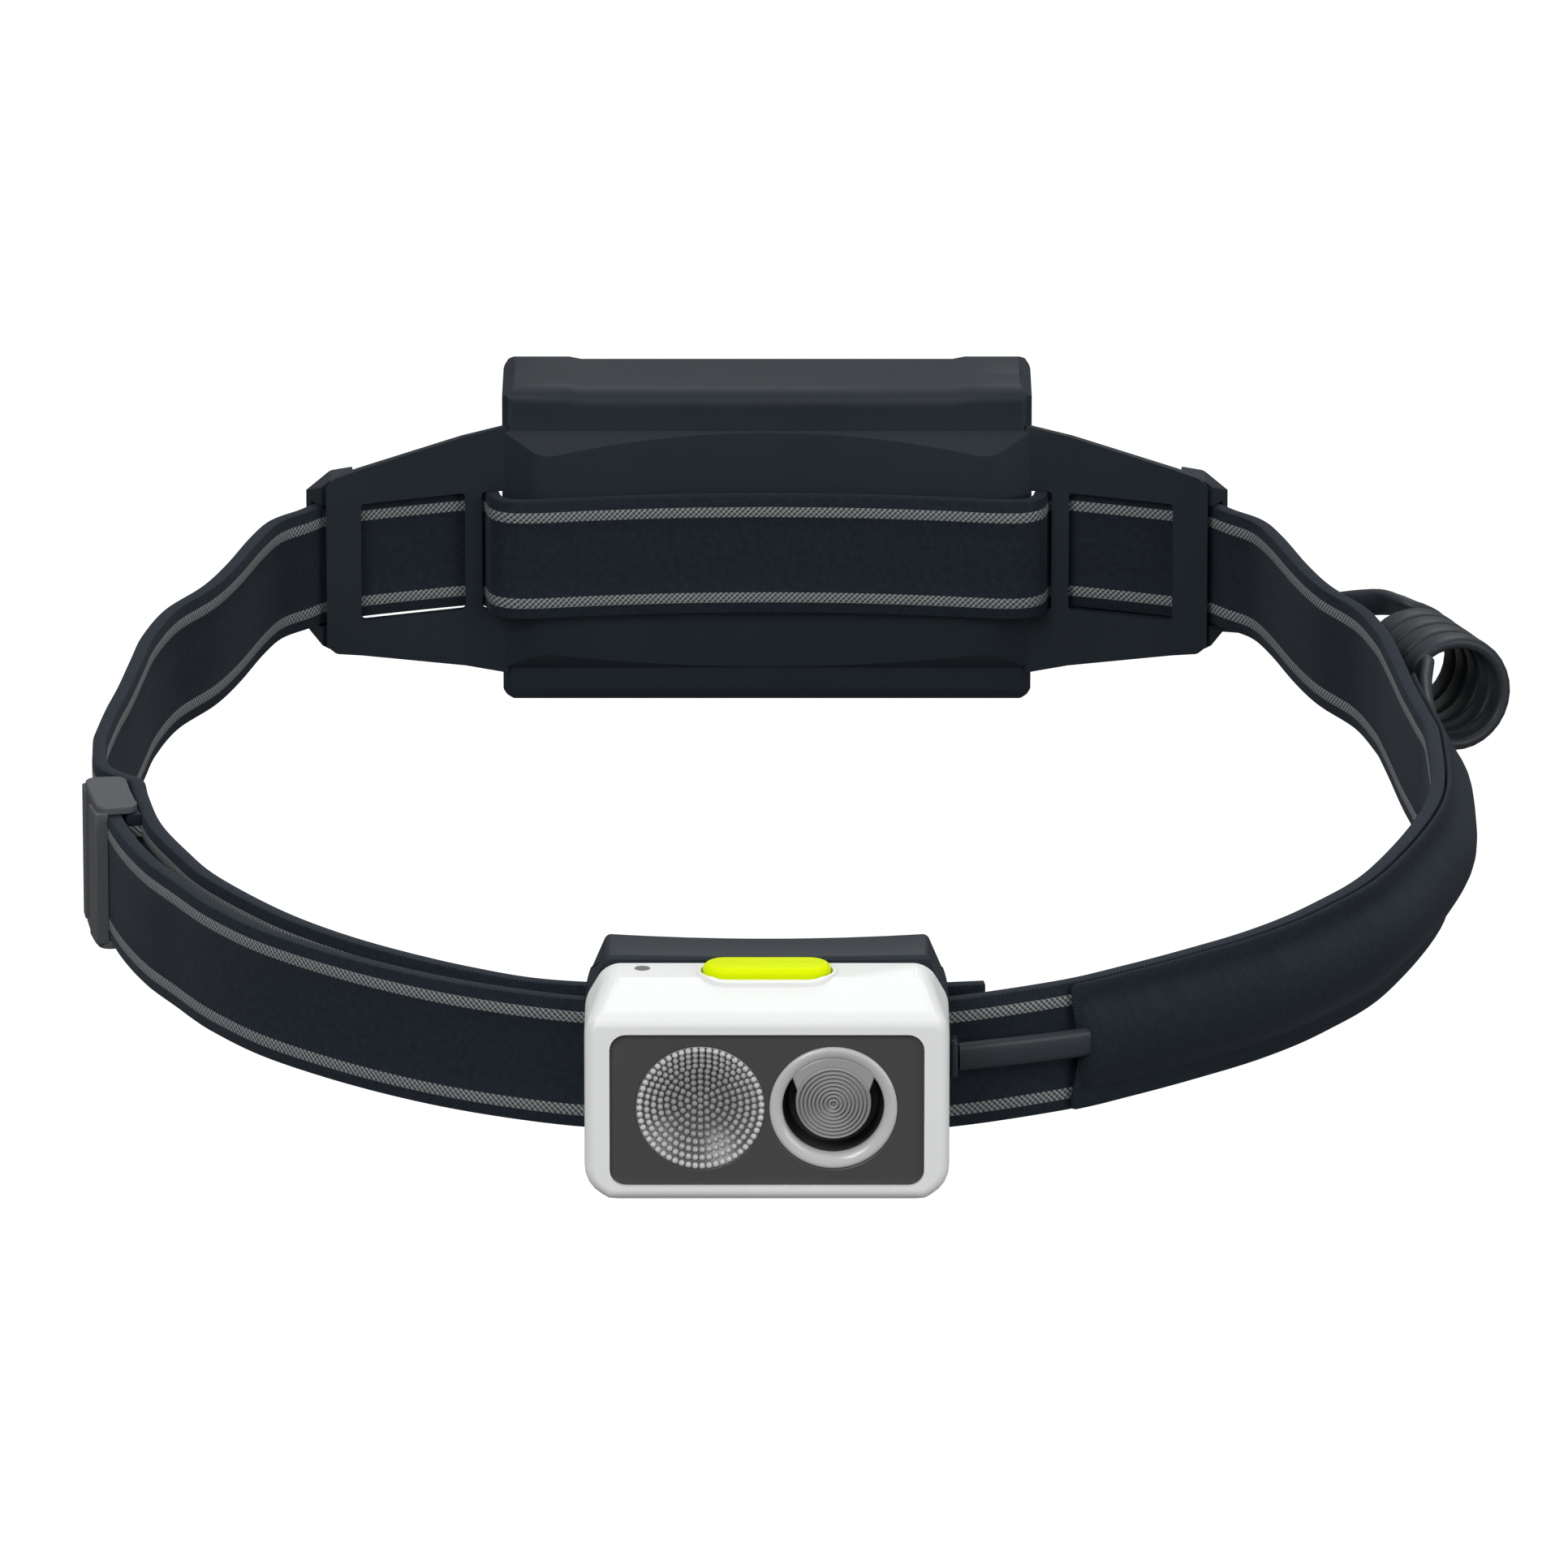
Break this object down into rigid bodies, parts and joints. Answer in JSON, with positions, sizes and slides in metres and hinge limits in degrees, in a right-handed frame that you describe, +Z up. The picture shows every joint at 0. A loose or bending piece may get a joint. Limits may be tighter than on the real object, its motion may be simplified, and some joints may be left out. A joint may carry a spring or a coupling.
{
  "type": "headlamp",
  "caption": "Headlamp with a tilting twin-lens lamp on an elastic band, a sleeved cable with a coiled stretch and a battery pack at the back of the head.",
  "frame": {"origin": "middle of the head opening, at the strap's mid height", "axes": "-Y to the front (lamp), +Y to the back (battery pack), +X to the sleeve's side, +Z up"},
  "size_m": [0.2261, 0.3111, 0.054],
  "materials": {
    "white_plastic": "satin moulded, fine grain",
    "dark_plastic": "matt moulded, fine spark grain",
    "grey_plastic": "matt moulded",
    "bezel_plastic": "satin moulded",
    "button_rubber": "soft yellow-green, satin",
    "clear_lens": "clear polycarbonate",
    "webbing": "woven elastic with reflective stripes",
    "sleeve_cloth": "fine diagonal weave",
    "cable_rubber": "soft matt jacket",
    "seal_rubber": "moulded silicone",
    "board": "solder mask",
    "led_yellow": "phosphor",
    "steel": "zinc plated",
    "contact_brass": "gold plated",
    "cell_wrap": "shrink wrap",
    "light_pipe": "translucent"
  },
  "bodies": {
    "band": {"bracket": "dark_plastic", "bracket_gland": "cable_rubber", "strap_front": "webbing", "strap_right": "webbing", "strap_back": "webbing", "strap_rear_left": "webbing", "strap_tail": "webbing", "cable_sleeve": "sleeve_cloth", "cable_front": "cable_rubber", "cable_coil": "cable_rubber", "cable_rear": "cable_rubber", "pack_frame": "dark_plastic", "pack_rear_shell": "dark_plastic", "pack_seal": "seal_rubber", "pack_screws": "steel", "battery_cell": "cell_wrap", "front_contact": "contact_brass", "rear_contact": "contact_brass", "charge_board": "board", "charge_socket": "steel", "flap_pin": "steel", "pack_gland": "cable_rubber"},
    "lamp": {"lamp_housing": "white_plastic", "lamp_bezel": "bezel_plastic", "flood_lens": "clear_lens", "spot_lens": "clear_lens", "led_board": "board", "flood_led": "led_yellow", "spot_led": "led_yellow", "status_light_pipe": "light_pipe", "button_switch": "steel", "lamp_seal": "seal_rubber", "lamp_rear_cover": "grey_plastic", "cover_screws": "steel", "hinge_pin": "steel"},
    "button": {"button_cap": "button_rubber"},
    "slider": {"strap_slider": "grey_plastic", "strap_end_loop": "webbing"},
    "flap": {"port_flap": "seal_rubber"}
  },
  "joints": [
    {"name": "lamp_tilt", "type": "hinge", "parent": "band", "child": "lamp", "pos_m": [0, -0.14, -0.0108], "axis": [1, 0, 0], "range_deg": [0, 60]},
    {"name": "button_press", "type": "slide", "parent": "lamp", "child": "button", "axis": [0, 0, -1], "range_m": [0, 0.001], "stiffness_N_per_m": 600},
    {"name": "adjuster_slide", "type": "hinge", "parent": "band", "child": "slider", "pos_m": [0.028, -0.01, 0], "axis": [0, 0, -1], "range_deg": [0, 2.6]},
    {"name": "flap_hinge", "type": "hinge", "parent": "band", "child": "flap", "pos_m": [-0.024, 0.1573, -0.016], "axis": [-1, 0, 0], "range_deg": [0, 110]}
  ]
}
